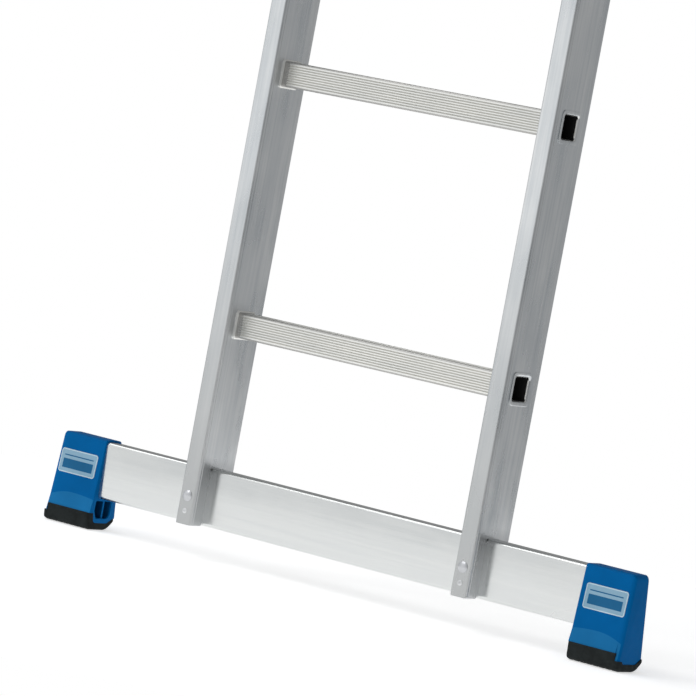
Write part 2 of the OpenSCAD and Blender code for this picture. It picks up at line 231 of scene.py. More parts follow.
def carve(piece, cutter_shape, sharp=32):
    """Cuts the shape out of the piece for good."""
    cutter = cutter_shape.object(piece.name + "_cutter")
    cut = piece.modifiers.new("cut", "BOOLEAN")
    cut.operation = "DIFFERENCE"
    cut.solver = "EXACT"
    cut.use_self = True
    cut.object = cutter
    graph = bpy.context.evaluated_depsgraph_get()
    result = bpy.data.meshes.new_from_object(piece.evaluated_get(graph))
    piece.modifiers.clear()
    old = piece.data
    piece.data = result
    bpy.data.meshes.remove(old)
    bpy.data.objects.remove(cutter)
    smooth(result, sharp)
    return piece


def zone(piece, material, rule):
    """Paints the faces that a rule of (centre, normal) picks in a further material."""
    piece.data.materials.append(material)
    index = len(piece.data.materials) - 1
    for face in piece.data.polygons:
        if rule(face.center, face.normal):
            face.material_index = index


def give(piece, material, body, *nodes):
    """Paints a piece, lets it ride on its body and stands it in for CAD nodes."""
    piece.data.materials.clear()
    piece.data.materials.append(material)
    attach(piece, body)
    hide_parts(*nodes)
    return piece


# ---------------------------------------------------------------- materials


class Paint:
    """A procedural material, built up by the functions below."""

    def __init__(self, name, colour, metallic, roughness, sheen=0.5):
        self.material = bpy.data.materials.new(name)
        self.material.use_nodes = True
        self.nodes = self.material.node_tree.nodes
        self.links = self.material.node_tree.links
        self.shader = self.nodes["Principled BSDF"]
        self.shader.inputs["Base Color"].default_value = (*colour, 1)
        self.shader.inputs["Metallic"].default_value = metallic
        self.shader.inputs["Roughness"].default_value = roughness
        self.shader.inputs["Specular IOR Level"].default_value = sheen
        self.spot = self.nodes.new("ShaderNodeTexCoord").outputs["Object"]

    def noise(self, scale, detail=4.0, roughness=0.55):
        """Noise with scale bumps a metre along X, Y and Z."""
        stretch = self.nodes.new("ShaderNodeMapping")
        stretch.inputs["Scale"].default_value = scale
        self.links.new(self.spot, stretch.inputs["Vector"])
        noise = self.nodes.new("ShaderNodeTexNoise")
        noise.inputs["Scale"].default_value = 1.0
        noise.inputs["Detail"].default_value = detail
        noise.inputs["Roughness"].default_value = roughness
        self.links.new(stretch.outputs["Vector"], noise.inputs["Vector"])
        return noise.outputs["Fac"]

    def spread(self, factor, low_value, high_value, from_low=0.3, from_high=0.7):
        """A factor spread over a range of values."""
        ramp = self.nodes.new("ShaderNodeMapRange")
        ramp.inputs["From Min"].default_value = from_low
        ramp.inputs["From Max"].default_value = from_high
        ramp.inputs["To Min"].default_value = low_value
        ramp.inputs["To Max"].default_value = high_value
        self.links.new(factor, ramp.inputs["Value"])
        return ramp.outputs["Result"]

    def mean(self, first, second):
        """The mean of two factors."""
        mix = self.nodes.new("ShaderNodeMix")
        mix.inputs["Factor"].default_value = 0.5
        self.links.new(first, mix.inputs["A"])
        self.links.new(second, mix.inputs["B"])
        return mix.outputs["Result"]

    def rough(self, factor, low_value, high_value):
        """Roughness that varies with a factor."""
        self.links.new(self.spread(factor, low_value, high_value), self.shader.inputs["Roughness"])

    def tint(self, factor, first, second):
        """Base colour between two colours."""
        mix = self.nodes.new("ShaderNodeMix")
        mix.data_type = "RGBA"
        mix.inputs["A"].default_value = (*first, 1)
        mix.inputs["B"].default_value = (*second, 1)
        self.links.new(self.spread(factor, 0, 1), mix.inputs["Factor"])
        self.links.new(mix.outputs["Result"], self.shader.inputs["Base Color"])

    def paint_shade_below(self, colour, low_z, high_z, facing_on, facing_off):
        """Painted shade: a darker colour below a height, on the faces whose normal's Y is towards facing_on.
        """
        split = self.nodes.new("ShaderNodeSeparateXYZ")
        self.links.new(self.spot, split.inputs["Vector"])
        facing = self.nodes.new("ShaderNodeSeparateXYZ")
        self.links.new(self.nodes.new("ShaderNodeTexCoord").outputs["Normal"], facing.inputs["Vector"])
        share = self.nodes.new("ShaderNodeMath")
        share.operation = "MULTIPLY"
        self.links.new(self.spread(split.outputs["Z"], 1, 0, low_z, high_z), share.inputs[0])
        self.links.new(self.spread(facing.outputs["Y"], 1, 0, facing_on, facing_off), share.inputs[1])
        mix = self.nodes.new("ShaderNodeMix")
        mix.data_type = "RGBA"
        mix.inputs["B"].default_value = (*colour, 1)
        base = self.shader.inputs["Base Color"]
        self.links.new(share.outputs["Value"], mix.inputs["Factor"])
        self.links.new(base.links[0].from_socket, mix.inputs["A"])
        self.links.new(mix.outputs["Result"], base)

    def bump(self, *layers):
        """Bumps one on the other, each a factor and its height in metres."""
        normal = None
        for factor, height in layers:
            bump = self.nodes.new("ShaderNodeBump")
            bump.inputs["Strength"].default_value = 1.0
            bump.inputs["Distance"].default_value = height
            self.links.new(factor, bump.inputs["Height"])
            if normal:
                self.links.new(normal, bump.inputs["Normal"])
            normal = bump.outputs["Normal"]
        self.links.new(normal, self.shader.inputs["Normal"])


def scaled(colour, factor):
    """A colour made lighter or darker."""
    return tuple(min(1.0, channel * factor) for channel in colour)


def drawn_aluminium(name, colour, along, roughness=0.3, cloudy=0.06):
    """Mill-finish extrusion: die lines along one axis, fainter streaks and dull clouds."""
    paint = Paint(name, colour, 0.95, roughness)
    way = "xyz".index(along)
    lines, streaks, clouds = [560.0] * 3, [260.0] * 3, [30.0] * 3
    lines[way], streaks[way], clouds[way] = 2.5, 5.0, 11.0
    cloud = paint.noise(clouds, 3.0, 0.5)
    both = paint.mean(cloud, paint.noise(streaks, 3.0, 0.6))
    dull_side = tuple(c * (1 - cloudy * k) for c, k in zip(colour, (1.5, 1.25, 1.0)))
    paint.tint(both, dull_side, scaled(colour, 1 + cloudy))
    paint.rough(cloud, roughness - 0.05, roughness + 0.08)
    paint.bump((paint.noise(lines, 3.0, 0.6), 0.00002), (paint.noise(clouds, 0.0), 0.00008))
    return paint


def moulded(name, colour, roughness=0.42, grain=0.00002):
    """Injection-moulded plastic with a fine satin grain and slight clouding."""
    paint = Paint(name, colour, 0.0, roughness, 0.03)
    paint.tint(paint.noise((18, 18, 18), 4.0), scaled(colour, 0.9), scaled(colour, 1.1))
    paint.rough(paint.noise((160, 160, 160), 3.0), roughness - 0.05, roughness + 0.07)
    paint.bump((paint.noise((2600, 2600, 2600), 2.0), grain), (paint.noise((60, 60, 60), 2.0), 0.0001))
    return paint.material


def zinc(name, colour, roughness=0.34):
    """Zinc-plated steel: bright, slightly patchy."""
    paint = Paint(name, colour, 1.0, roughness)
    paint.tint(paint.noise((120, 120, 120), 3.0), scaled(colour, 0.85), scaled(colour, 1.05))
    paint.rough(paint.noise((260, 260, 260), 3.0), roughness - 0.08, roughness + 0.12)
    paint.bump((paint.noise((900, 900, 900), 2.0), 0.00002))
    return paint.material


def sole_rubber(name, colour):
    """Matt rubber with a dusty grain."""
    paint = Paint(name, colour, 0.0, 0.72, 0.15)
    paint.tint(paint.noise((90, 90, 90), 5.0), scaled(colour, 0.8), scaled(colour, 1.5))
    paint.rough(paint.noise((300, 300, 300), 3.0), 0.6, 0.85)
    paint.bump((paint.noise((1500, 1500, 1500), 3.0), 0.00005))
    return paint.material


stile_paint = drawn_aluminium("stile_aluminium", (0.75, 0.76, 0.76), "z", 0.28, 0.14)
# painted shade: the front darkens towards the ground, and the sides of the legs that grip the crossbar are
# darker below its top
stile_paint.paint_shade_below((0.47, 0.48, 0.48), 0.05, 0.45, -0.9, -0.2)
stile_paint.paint_shade_below((0.50, 0.51, 0.52), 0.096, 0.112, -0.1, -0.8)
STILE = stile_paint.material
RUNG = drawn_aluminium("rung_aluminium", (0.92, 0.91, 0.87), "x", 0.34).material
# painted shade: a darker aluminium for the faces of the rung's grooves
GROOVE_SHADE = drawn_aluminium("groove_shade_aluminium", (0.66, 0.65, 0.61), "x", 0.5).material
# painted shade: a darker aluminium for the rung's necked ends and rounded corners
RUNG_EDGE_SHADE = drawn_aluminium("rung_edge_shade_aluminium", (0.50, 0.49, 0.47), "x", 0.45).material
BAR = drawn_aluminium("crossbar_aluminium", (0.70, 0.71, 0.70), "x", 0.20, 0.04).material
BRACKET = drawn_aluminium("bracket_aluminium", (0.62, 0.63, 0.64), "y", 0.32).material
RIVET = zinc("rivet_aluminium", (0.70, 0.71, 0.72))
ZINC = zinc("zinc_steel", (0.60, 0.61, 0.63))
HOOK = zinc("hook_steel", (0.55, 0.56, 0.58), 0.38)
SPRING = zinc("spring_steel", (0.42, 0.42, 0.43), 0.3)
BORE = moulded("bore_shadow", (0.02, 0.02, 0.02), 0.8)
BLUE = moulded("cap_plastic", (0.0, 0.115, 0.345))
# painted shade: a darker blue for the inside of the cap's open recess
RECESS_SHADE_BLUE = moulded("cap_recess_painted_shade", (0.0, 0.05, 0.15), 0.6)
# painted light: a lighter blue for the cap's toe facet, as if lit from above, with a rougher grain
TOE_LIT_BLUE = moulded("cap_toe_painted_light", (0.012, 0.165, 0.40), 0.55, 0.00005)
LATCH = moulded("latch_plastic", (0.0, 0.10, 0.30), 0.38)
LABEL = moulded("label_plastic", (0.27, 0.44, 0.57), 0.4, 0.00001)
RIM = moulded("label_rim", (0.55, 0.68, 0.76), 0.35, 0.00001)
INK = moulded("label_ink", (0.02, 0.13, 0.28), 0.5, 0.00001)
GREY = moulded("plug_plastic", (0.045, 0.047, 0.05), 0.5)
RUBBER = sole_rubber("sole_rubber", (0.010, 0.013, 0.013))


# ---------------------------------------------------------------- stiles


def stile_outline(centre_x, front_y, width, depth):
    """A flat tube's outline: a raised bead along each of its four edges, a seam behind the front ones."""
    outer = width / 2
    web = outer - BEAD_RISE
    seam = web - 0.7 * MM
    half = [
        (outer, 0, 3.3 * MM), (outer, BEAD_W, 0.4 * MM), (seam, BEAD_W + 0.6 * MM, 0.25 * MM),
        (seam, BEAD_W + 1.5 * MM, 0.25 * MM), (web, BEAD_W + 2.4 * MM, 0.5 * MM),
        (web, depth - BEAD_W - 3 * MM, 2 * MM), (outer, depth - BEAD_W, 0.7 * MM), (outer, depth, 1.6 * MM),
    ]
    loop = half + [(-u, v, r) for u, v, r in reversed(half)]
    return [p + Vector((centre_x, front_y)) for p in rounded(loop, 5)]


def stile(section, side):
    """One stile with the windows that its rungs pass through."""
    node = f"{section}_stile_{side}"
    right = f"{section}_stile_right"
    lo, hi = low(right), high(right)
    centre = (lo + hi) / 2
    inner = rectangle(lo.x + BEAD_RISE + WALL, hi.x - BEAD_RISE - WALL, lo.y + WALL, hi.y - WALL, 1 * MM)
    tube = Shape()
    tube.prism("z", stile_outline(centre.x, lo.y, hi.x - lo.x, hi.y - lo.y), lo.z, hi.z)
    piece = tube.object(node, side == "left")
    flip = -1 if side == "left" else 1
    cut = Shape()
    cut.prism("z", inner, lo.z - PAST, hi.z + PAST)
    cut.verts = [(flip * x, y, z) for x, y, z in cut.verts]
    carve(piece, cut)
    cut = Shape()
    window = RUNG_HALF + PLAY
    for i in range(1, RUNGS + 1):
        rung = middle(f"{section}_rung_{i}")
        square = rectangle(rung.y - window, rung.y + window, rung.z - window, rung.z + window, 2 * MM)
        cut.prism("x", square, flip * (lo.x - PAST), flip * (hi.x + PAST))
    if section == "base":
        # slotted over the crossbar, with the corners of the front leg cut off below
        bar_lo, bar_hi = low("crossbar"), high("crossbar")
        below, behind = lo.z - PAST, hi.y + PAST
        rear_end = bar_hi.z - REAR_DROP
        bar_back = bar_hi.y + PLAY
        slot = [(bar_lo.y, below, 0), (behind, below, 0), (behind, rear_end, 0),
                (bar_back, rear_end, 0), (bar_back, bar_hi.z, 0), (bar_lo.y, bar_hi.z, 0)]
        cut.prism("x", rounded(slot), flip * (lo.x - PAST), flip * (hi.x + PAST))
        chamfer = 2.0 * MM
        for edge_x in (lo.x, hi.x):
            diamond = [Vector((edge_x - chamfer, lo.z)), Vector((edge_x, lo.z - chamfer)),
                       Vector((edge_x + chamfer, lo.z)), Vector((edge_x, lo.z + chamfer))]
            diamond = [Vector((flip * p.x, p.y)) for p in diamond]
            cut.prism("y", diamond, lo.y - PAST, bar_lo.y + PLAY)
    carve(piece, cut)
    return give(piece, STILE, section, node)


# ---------------------------------------------------------------- rungs


def rung_outline(centre, half, groove, radius):
    """A square with rounded corners and grip grooves of the given depth, always of equal length."""
    margin = 3 * MM
    mouth = 0.75 * MM
    bottom = 0.2 * MM
    step = 2 * (RUNG_HALF - margin) / GROOVES
    side = []
    for i in range(GROOVES):
        u = -RUNG_HALF + margin + step * (i + 0.5)
        side += [(u - mouth, 0), (u - bottom, groove), (u + bottom, groove), (u + mouth, 0)]
    outline = []
    for quarter in range(4):
        c, s = (1, 0, -1, 0)[quarter], (0, 1, 0, -1)[quarter]
        for u, deep in side:
            v = -half + deep
            outline.append(Vector((u * c - v * s, u * s + v * c)))
        corner = Vector(((half - radius) * (c + s), (half - radius) * (s - c)))
        for k in range(5):
            angle = math.radians(-90 + 90 * quarter + 22.5 * k)
            outline.append(corner + radius * Vector((math.cos(angle), math.sin(angle))))
    return [p + centre for p in outline]


def rung(section, number):
    """A fluted tube pressed through both stiles: a bead inside, a flared rim outside."""
    node = f"{section}_rung_{number}"
    spot = middle(node)
    centre = Vector((spot.y, spot.z))
    stile_lo, stile_hi = low(f"{section}_stile_right"), high(f"{section}_stile_right")
    web_in = stile_lo.x + BEAD_RISE
    web_out = stile_hi.x - BEAD_RISE
    bead = web_in - 2.2 * MM
    flutes_end = bead - 6.5 * MM
    bore = RUNG_HALF - RUNG_WALL
    # x, then the half width, groove depth and corner radius in mm
    outside = [
        (flutes_end, 14.0, GROOVE_DEEP / MM, 2.0), (bead - 5.0 * MM, 13.6, 0.3, 2.0),
        (bead - 3.5 * MM, 13.4, 0.1, 2.0), (bead - 0.8 * MM, 13.4, 0, 2.0), (bead, 14.4, 0, 2.2),
        (bead + 0.3 * MM, 15.3, 0, 2.6),
        (bead + 0.9 * MM, 15.9, 0, 2.9), (web_in, 16.0, 0, 3.0), (web_in, 14.0, 0, 2.0),
        (web_out, 14.0, 0, 2.0), (web_out, 17.4, 0, 5.0), (web_out + 0.2 * MM, 17.85, 0, 5.2),
        (web_out + 0.7 * MM, 18.0, 0, 5.3), (web_out + 1.05 * MM, 17.9, 0, 5.2),
        (web_out + 1.2 * MM, 17.6, 0, 5.0), (web_out + 1.2 * MM, 16.4, 0, 4.6),
        (web_out + 0.9 * MM, 14.6, 0, 4.2), (web_out + 0.2 * MM, 13.8, 0, 3.8),
        (web_out - 0.9 * MM, 13.2, 0, 3.2), (web_out - 2.0 * MM, 12.7, 0, 2.6),
        (web_out - 6.0 * MM, bore / MM, 0, 2.0),
    ]
    one_end = [(x, rung_outline(centre, half * MM, deep * MM, r * MM)) for x, half, deep, r in outside]
    other_end = [(-x, ring) for x, ring in reversed(one_end)]
    # the outside runs from the left end to the right one, and the bore closes the loop
    piece = give(Shape().loft("x", other_end + one_end, loop=True).object(node), RUNG, section, node)

    def off_axis(point):
        return sorted((abs(point.y - centre.x), abs(point.z - centre.y)))

    # painted shade in the grooves
    zone(piece, GROOVE_SHADE, lambda spot, normal: abs(spot.x) < flutes_end and off_axis(spot)[0] < 11.3 * MM
         and bore + 0.05 * MM < off_axis(spot)[1] < RUNG_HALF - 0.1 * MM)
    # painted shade on the necked ends next to the beads and on the rounded corners
    zone(piece, RUNG_EDGE_SHADE, lambda spot, normal: (spot.yz - centre).dot(normal.yz) > 0
         and (flutes_end < abs(spot.x) < bead or abs(spot.x) < bead and off_axis(spot)[0] > 11.9 * MM))
    # the rim looks like the web it is pressed against
    zone(piece, STILE, lambda spot, normal: web_out - 1 * MM < abs(spot.x) and off_axis(spot)[1] > 13 * MM)
    zone(piece, BORE, lambda spot, normal: abs(spot.x) < web_out - 1.2 * MM
         and off_axis(spot)[1] < bore + 0.4 * MM and (spot.yz - centre).dot(normal.yz) < 0)
    return piece


# ---------------------------------------------------------------- crossbar and feet


def crossbar():
    """The rounded flat tube across the foot of the ladder."""
    lo, hi = low("crossbar"), high("crossbar")
    outline = rectangle(lo.y, hi.y, lo.z, hi.z, 4 * MM, 8)
    piece = Shape().prism("x", outline, lo.x, hi.x).object("crossbar_tube")
    return give(piece, BAR, "base", "crossbar")


# The foot from the side: depths behind the stile's front, and heights above the ground
TOE = 9.5 * MM
HEEL = 57 * MM
BAND = 19 * MM
TREAD = 8 * MM
OUTER_BAND = 11 * MM
SEAM_TOP = 14 * MM
WRAP = 5 * MM
FACE_TOP = 18.2 * MM
FACE_LOW = 13.4 * MM
BACK_TOP = 45.2 * MM
BACK_LOW = 56 * MM
RIVET_SEAT = 46 * MM


def seam(band, draw):
    """The line on which the cap meets its sole, from the heel to the top of the toe's band."""
    return [(HEEL - 1.5 * MM - draw, SEAM_TOP, 0), (HEEL - 14 * MM, TREAD, 8 * MM),
            (TOE + 10 * MM, TREAD, 4 * MM), (TOE + 7.5 * MM, band, 0)]


def sole_outline(front_y, band, draw=0.0):
    """The sole from the side: a band at the toe, a thin tread, rounded up at the heel."""
    points = [
        (TOE + draw, band, 0), (TOE + 1 * MM + draw, 2 * MM + draw, 3 * MM), (TOE + 6 * MM, draw, 4 * MM),
        (HEEL - 12 * MM, draw, 14 * MM), (HEEL - draw, 11 * MM, 3 * MM),
    ]
    return [p + Vector((front_y, 0)) for p in rounded(points + seam(band, draw), 7)]


def foot_sole(side):
    """Rubber sole with cross grooves in its tread; its toe band ends at the cap's outer wall."""
    lo, hi = low("foot_sole_right"), high("foot_sole_right")
    front_y = low("base_stile_right").y
    left = side == "left"
    edge = 3 * MM
    turns = [k * math.pi / 10 for k in range(6)]
    stations = [(lo.x + edge * (1 - math.cos(t)), sole_outline(front_y, BAND, edge * (1 - math.sin(t))))
                for t in turns]
    stations += [(hi.x - WRAP - 0.05 * MM, sole_outline(front_y, BAND)),
                 (hi.x - WRAP, sole_outline(front_y, OUTER_BAND))]
    for t in turns:
        draw = 2.6 * MM * (1 - math.cos(t))
        stations.append((hi.x - 3 * MM * (1 - math.sin(t)), sole_outline(front_y, OUTER_BAND, draw)))
    piece = Shape().loft("x", stations).object(f"foot_sole_{side}", left)
    flip = -1 if left else 1
    cut = Shape()
    groove = rectangle(front_y, front_y + 60 * MM, -PAST, 1.2 * MM, 0)
    for i in range(7):
        x = flip * (lo.x + 7.5 * MM + i * 8 * MM)
        cut.prism("x", groove, x - 1.5 * MM, x + 1.5 * MM)
    carve(piece, cut)
    return give(piece, RUBBER, "base", f"foot_sole_{side}")


def crease(share):
    """Height at which the cap's face breaks into its toe: an arch, lower on the outer side.

    Share runs from -1 at the inner side to 1 at the outer one.
    """
    fall = 8 * MM if share > 0 else 2.5 * MM
    return 36.2 * MM - fall * share * share


def face_at(z, top):
    """How far behind the stile's front the cap's leaning face lies at height z."""
    foot = low("crossbar").z
    return FACE_LOW + (FACE_TOP - FACE_LOW) * (z - foot) / (top - foot)


def cap_outline(front_y, top, share, band, draw, drop):
    """The foot cap from the side. Draw pulls its face and back in, and drop its top down."""
    fold = crease(share)
    back = [(face_at(top, top) + draw, top - drop, 3 * MM), (BACK_TOP - draw, top - drop, 4 * MM),
            (BACK_LOW - draw, SEAM_TOP, 0)]
    toe = [(TOE + 0.8 * MM + draw, band, 0), (face_at(fold, top) + draw, fold, 2.5 * MM)]
    return [p + Vector((front_y, 0)) for p in rounded(back + seam(band, draw) + toe, 6)]


def foot_cap(side):
    """Moulded cap on the crossbar's end, with a splayed toe and an open ribbed recess."""
    lo, hi = low("foot_cap_right"), high("foot_cap_right")
    bar_lo, bar_hi = low("crossbar"), high("crossbar")
    front_y = low("base_stile_right").y
    left = side == "left"
    node = f"foot_cap_{side}"

    def share(x):
        return 2 * (x - lo.x) / (hi.x - lo.x) - 1

    def station(x, draw=0.0, drop=0.0, band=BAND):
        return (x, cap_outline(front_y, hi.z, share(x), band, draw, drop))

    edge = 1.0 * MM
    soft = 5 * MM
    quarter = [k * math.pi / 14 for k in range(8)]
    stations = [station(lo.x + edge * (1 - math.cos(t)), edge * (1 - math.sin(t)), edge * (1 - math.sin(t)))
                for t in quarter[:-1]]
    flat = hi.x - soft - lo.x - edge
    stations += [station(lo.x + edge + flat * k / 12) for k in range(12)]
    stations.append(station(hi.x - soft - 0.05 * MM))
    for t in quarter:
        turned = 1 - math.cos(t)
        x = hi.x - soft * (1 - math.sin(t))
        stations.append(station(x, 3.6 * MM * turned, 6 * MM * turned, OUTER_BAND))
    shape = Shape().loft("x", stations)
    # the outer side leans outwards towards the ground
    lean = 2 * MM / hi.z
    shape.verts = [(lo.x + (x - lo.x) * (1 - lean * z / (hi.x - lo.x)), y, z) for x, y, z in shape.verts]
    piece = shape.object(node, left, 24)
    flip = -1 if left else 1
    cut = Shape()
    socket = rectangle(bar_lo.y - PLAY, bar_hi.y + PLAY, bar_lo.z - PLAY, bar_hi.z + PLAY, 4 * MM)
    cut.prism("x", socket, flip * (lo.x - PAST), flip * (bar_hi.x + PLAY))
    toe, heel = front_y + TOE + 9 * MM, front_y + HEEL - 11 * MM
    rib = (toe + heel) / 2 + 2.5 * MM
    thin = 1.4 * MM
    lower, upper = TREAD + 5 * MM, bar_lo.z - 3 * MM
    step = toe + 4 * MM
    whole = [(step, lower, 2 * MM), (heel, lower, 7 * MM), (heel, upper, 2 * MM), (toe, upper, 2 * MM),
             (toe, lower + 8 * MM, 2 * MM)]
    front = [(step, lower, 2 * MM), (rib - thin, lower, 2 * MM), (rib - thin, upper, 2 * MM),
             (toe, upper, 2 * MM), (toe, lower + 8 * MM, 2 * MM)]
    rear = [(rib + thin, lower, 2 * MM), (heel, lower, 7 * MM), (heel, upper, 2 * MM),
            (rib + thin, upper, 2 * MM)]
    cut.prism("x", rounded(whole), flip * (lo.x - PAST), flip * (lo.x + 2 * MM))
    for part in (front, rear):
        cut.prism("x", rounded(part), flip * (lo.x - PAST), flip * (hi.x - 6.5 * MM))
    rivet_x = flip * (high("cap_rivets").x - 4.2 * MM)
    seat = Vector((rivet_x, front_y + RIVET_SEAT, middle("cap_rivets").z))
    cut.lathe(seat, (0, 1, 0), [(0, 6 * MM), (0.012, 6 * MM)])
    carve(piece, cut, 24)
    give(piece, BLUE, "base", node)
    # painted light on the toe facet below the crease
    zone(piece, TOE_LIT_BLUE, lambda spot, normal: normal.y < -0.8 and spot.y < front_y + FACE_LOW + 1 * MM
         and BAND < spot.z < crease(share(abs(spot.x))) - 0.6 * MM)
    # painted shade inside the recess
    zone(piece, RECESS_SHADE_BLUE, lambda spot, normal: toe - 0.1 * MM < spot.y < heel + 0.1 * MM
         and lower - 0.1 * MM < spot.z < upper + 0.1 * MM and lo.x + 1.9 * MM < abs(spot.x) < hi.x - 6.4 * MM
         and abs(spot.y - rib) > 0.5 * thin)
    return piece


def label_plate(side):
    """Blank pale plate with a raised rim, a thin line and a broad bar."""
    lo, hi = low("label_plate_right"), high("label_plate_right")
    left = side == "left"
    node = f"label_plate_{side}"
    top = high("foot_cap_right").z
    lean = math.atan2(FACE_TOP - FACE_LOW, top - low("crossbar").z)
    up = Vector((0, math.sin(lean), math.cos(lean)))
    out = Vector((0, -math.cos(lean), math.sin(lean)))
    heart = (lo + hi) / 2 - out * 0.15 * MM
    width = hi.x - lo.x
    height = 26.8 * MM
    rim = 1.3 * MM
    sunk = 0.3 * MM

    def ring(outline, rise):
        return [heart + Vector((p.x, 0, 0)) + up * p.y + out * rise for p in outline]

    outer = rectangle(-width / 2, width / 2, -height / 2, height / 2, 3 * MM)
    face = 0.8 * MM
    bevel = 0.3 * MM
    levels = [(outer, -0.5 * MM), (outer, face - bevel), (inset(outer, bevel), face),
              (inset(outer, rim - bevel), face), (inset(outer, rim), face - sunk)]
    plate = Shape().rings([ring(outline, rise) for outline, rise in levels])
    piece = give(plate.object(node, left), LABEL, "base", node)
    flat = width / 2 - rim
    tall = height / 2 - rim
    zone(piece, RIM, lambda spot, normal: abs(abs(spot.x) - heart.x) > flat - 0.1 * MM
         or abs((spot - heart).dot(up)) > tall - 0.1 * MM)
    bars = Shape()
    ink = 0.1 * MM
    for middle_v, thick, half in ((6.4 * MM, 1.2 * MM, 0.40 * width), (-3.0 * MM, 10.4 * MM, 0.41 * width)):
        mark = rectangle(-half, half, middle_v - thick / 2, middle_v + thick / 2, 0.5 * MM, 3)
        bars.rings([ring(mark, face - sunk - ink), ring(mark, face - sunk + ink)])
    mark = bars.object(f"label_bars_{side}", left)
    mark.data.materials.append(INK)
    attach(mark, "base")
    return piece


# ---------------------------------------------------------------- fasteners


def dome_profile(radius, height, steps=7):
    """A domed head from its rim to its crown."""
    ball = (radius * radius + height * height) / (2 * height)
    reach = math.asin(min(1.0, radius / ball))
    turn = [reach * (1 - k / steps) for k in range(steps)]
    return [(height - ball + ball * math.cos(a), ball * math.sin(a)) for a in turn]


def blind_rivet(shape, seat, out, length, head=4.8 * MM, rise=1.8 * MM, shank=2.4 * MM, bulb=4.0 * MM):
    """A set blind rivet: bulb behind the sheet, shank, domed head with the broken mandrel in it."""
    hole = head * 0.34
    profile = [(-length - 3 * MM, bulb * 0.7), (-length - 2.4 * MM, bulb * 0.95), (-length - 0.1 * MM, bulb),
               (-length, shank), (0, shank), (0, head * 0.96), (0.25 * rise, head)]
    profile += [(0.25 * rise + 0.75 * h, r) for h, r in dome_profile(head, rise)[1:] if r > hole * 1.15]
    crown = profile[-1][0]
    profile += [(crown + 0.05 * MM, hole * 1.1), (crown - 0.5 * MM, hole), (crown - 0.5 * MM, hole * 0.7),
                (crown - 0.2 * MM, hole * 0.55)]
    shape.lathe(seat, out, profile, 28)


def crossbar_bolts():
    """Two domed bolts through stile and crossbar, threads left plain."""
    lo, hi = low("crossbar_bolts"), high("crossbar_bolts")
    face = low("base_stile_right").y
    z = (lo.z + hi.z) / 2
    head = 6.2 * MM
    rise = 2.4 * MM
    edge = 0.35 * MM
    shank = 4 * MM
    x = hi.x - head
    length = hi.y - face
    profile = [(-length, 0.8 * shank), (-length + 0.8 * MM, shank), (-0.1 * MM, shank), (0, shank),
               (0, head * 0.97), (edge, head)]
    profile += [(edge + (rise - edge) * h / rise, r) for h, r in dome_profile(head, rise)[1:]]
    profile.append((rise, 0.3 * MM))
    shape = Shape()
    for sign in (1, -1):
        shape.lathe((sign * x, face, z), (0, -1, 0), profile, 36)
    return give(shape.object("crossbar_bolt_pair"), ZINC, "base", "crossbar_bolts")


def crossbar_rivets():
    """The small rivet below each bolt."""
    lo, hi = low("crossbar_rivets"), high("crossbar_rivets")
    face = low("base_stile_right").y
    head, rise, shank, bulb = 3 * MM, 0.9 * MM, 2 * MM, 3 * MM
    shape = Shape()
    for sign in (1, -1):
        seat = (sign * (hi.x - head), face, (lo.z + hi.z) / 2)
        blind_rivet(shape, seat, (0, -1, 0), hi.y - 3 * MM - face, head, rise, shank, bulb)
    return give(shape.object("crossbar_rivet_pair"), RIVET, "base", "crossbar_rivets")


def cap_rivets():
    """The rivet at the back of each foot cap."""
    lo, hi = low("cap_rivets"), high("cap_rivets")
    head, rise, shank, bulb = 4.2 * MM, 1.4 * MM, 2 * MM, 3 * MM
    back = hi.y - rise
    length = back - (high("crossbar").y - 2 * MM)
    shape = Shape()
    for sign in (1, -1):
        seat = (sign * (hi.x - head), back, (lo.z + hi.z) / 2)
        blind_rivet(shape, seat, (0, 1, 0), length, head, rise, shank, bulb)
    return give(shape.object("cap_rivet_pair"), RIVET, "base", "cap_rivets")


def plate_rivets(name, node, seat_x, out, length, spots, body):
    """Three rivets on each side, through a plate and a stile's web."""
    shape = Shape()
    for sign in (1, -1):
        for y, z in spots:
            blind_rivet(shape, (sign * seat_x, y, z), (sign * out, 0, 0), length)
    return give(shape.object(name), RIVET, body, node)


# ---------------------------------------------------------------- plugs and pads


def plug(section, place_name, side):
    """A stile's end plug: rounded flange outside, stub inside."""
    node = f"{section}_{place_name}_plug_{side}"
    right = f"{section}_{place_name}_plug_right"
    lo, hi = low(right), high(right)
    on_top = place_name == "top"
    stub = 18 * MM
    flange = lo.z + stub if on_top else hi.z - stub
    end = hi.z if on_top else lo.z
    away = 1 if on_top else -1
    soft = min(abs(end - flange) * 0.6, 2.2 * MM)
    outline = rectangle(lo.x, hi.x, lo.y, hi.y, 3 * MM)
    shape = Shape()
    stations = [(flange, inset(outline, 0.2 * MM)), (flange + away * 0.2 * MM, outline)]
    for k in range(6):
        t = k * math.pi / 10
        stations.append((end - away * soft * (1 - math.sin(t)), inset(outline, soft * (1 - math.cos(t)))))
    shape.loft("z", stations)
    stile_right = f"{section}_stile_right"
    slo, shi = low(stile_right), high(stile_right)
    side_wall = BEAD_RISE + WALL + PLAY
    face_wall = WALL + PLAY
    core = rectangle(slo.x + side_wall, shi.x - side_wall, slo.y + face_wall, shi.y - face_wall, 1 * MM)
    shape.prism("z", core, flange - away * stub, flange)
    return give(shape.object(node, side == "left"), GREY, section, node)


def slide_pad(side):
    """Low plastic pad with sloped ends at the foot of the fly stile."""
    lo, hi = low("slide_pad_right"), high("slide_pad_right")
    ramp = 4 * MM
    outline = [(lo.y, lo.z, 0), (hi.y, lo.z + ramp, 0.8 * MM), (hi.y, hi.z - ramp, 0.8 * MM), (lo.y, hi.z, 0)]
    piece = Shape().prism("x", rounded(outline, 4), lo.x, hi.x).object(f"slide_pad_{side}", side == "left")
    return give(piece, GREY, "fly", f"slide_pad_{side}")


# ---------------------------------------------------------------- guide at the base's head


